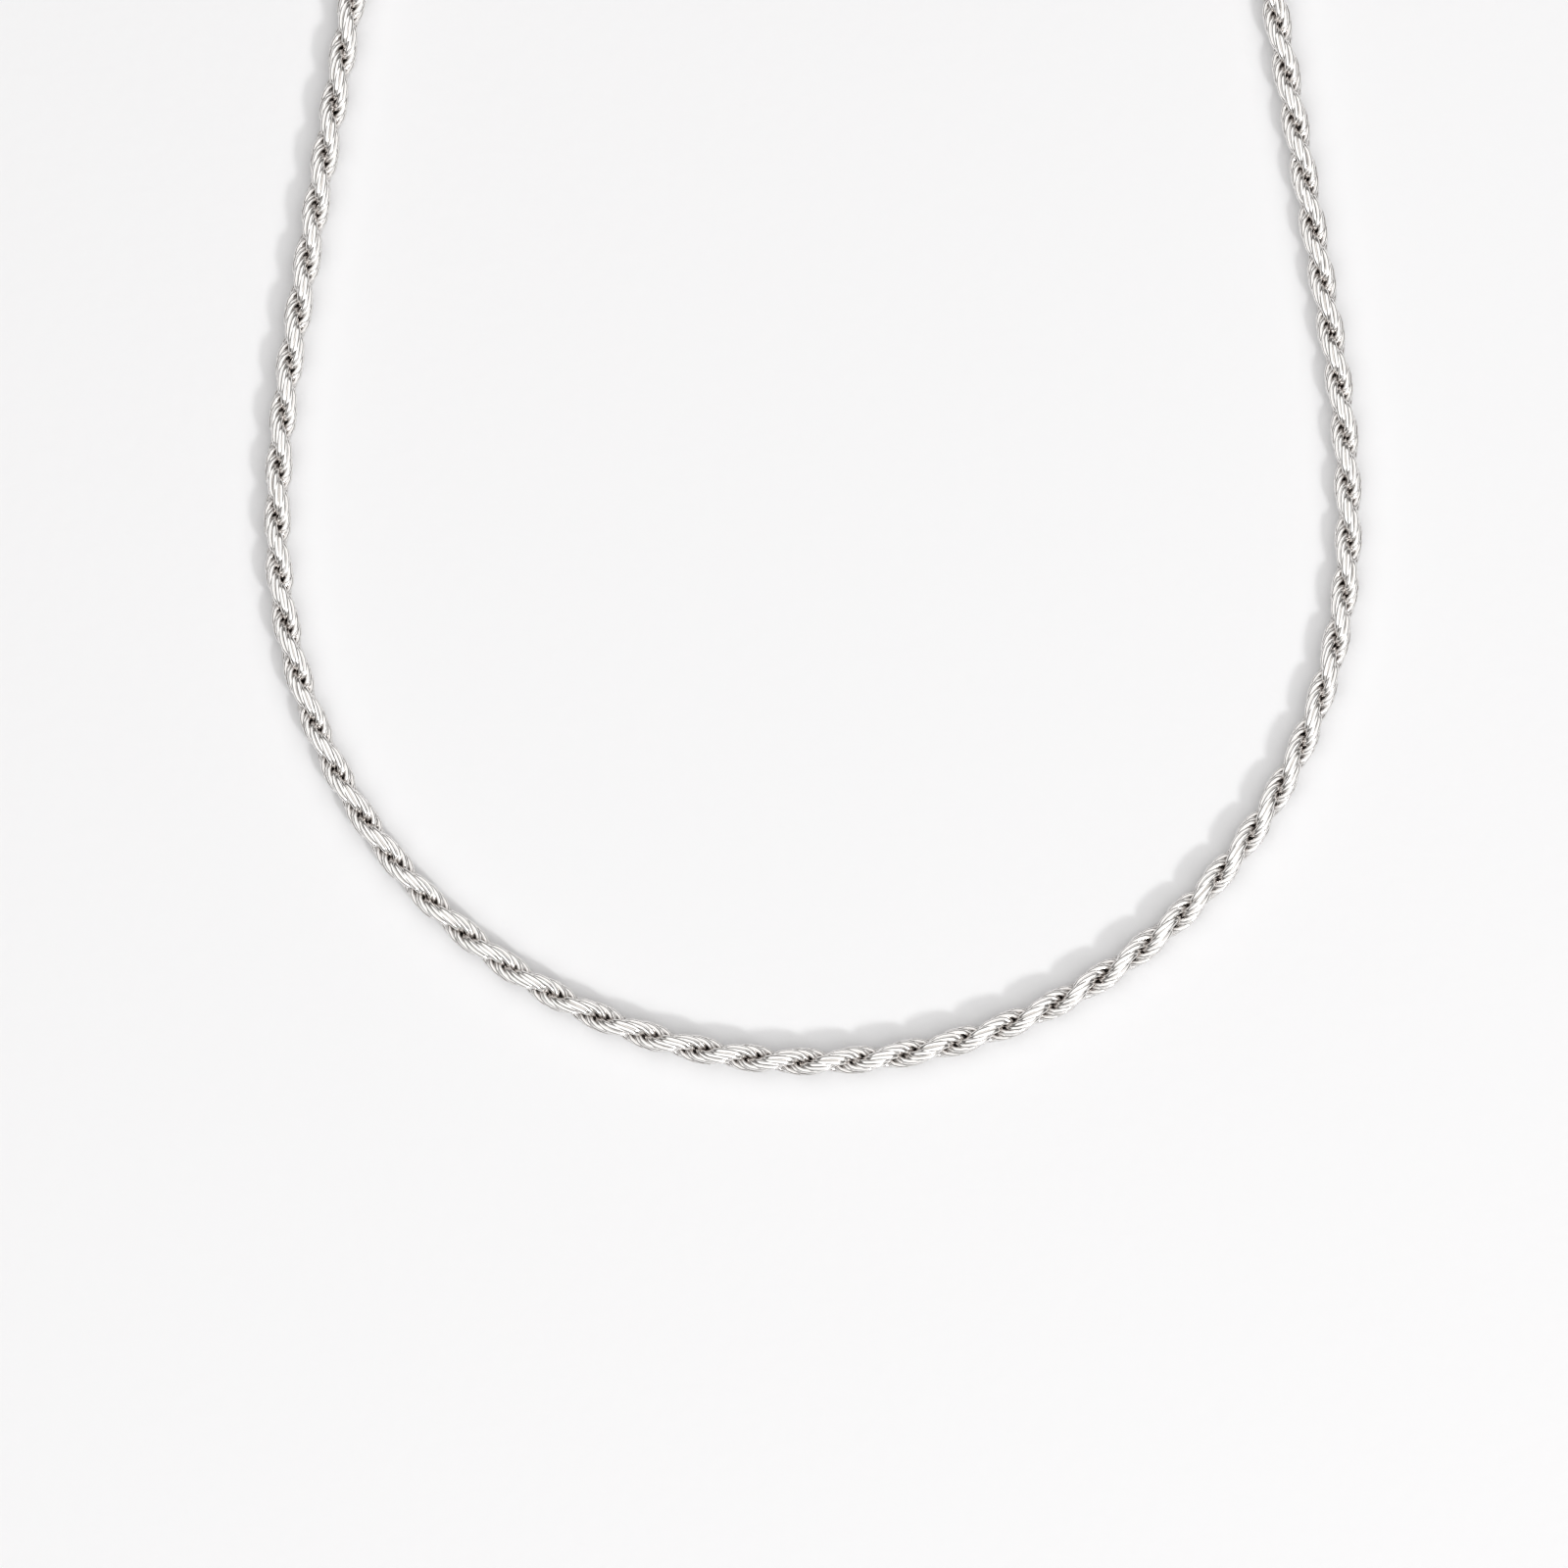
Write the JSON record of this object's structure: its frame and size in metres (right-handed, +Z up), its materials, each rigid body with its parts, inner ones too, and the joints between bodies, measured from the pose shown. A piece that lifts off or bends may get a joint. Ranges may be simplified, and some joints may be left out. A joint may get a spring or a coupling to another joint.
{
  "type": "rope chain necklace",
  "caption": "Plain silver rope chain necklace lying flat as a closed loop, with a soldered end cap on each end and a plain ring clasp at the back.",
  "frame": {"origin": "on the surface that the necklace lies on, under the middle of its box", "axes": "+X across the loop, +Y from the front of the loop to the clasp, +Z up from the surface"},
  "size_m": [0.1122, 0.17, 0.0038],
  "materials": {
    "polished_silver_rope": "polished silver wire links",
    "polished_silver_cap": "polished turned silver",
    "polished_silver_clasp": "polished round silver wire"
  },
  "bodies": {
    "root": {"rope_chain": "polished_silver_rope", "end_cap_left": "polished_silver_cap", "end_cap_right": "polished_silver_cap", "clasp": "polished_silver_clasp"}
  },
  "joints": []
}
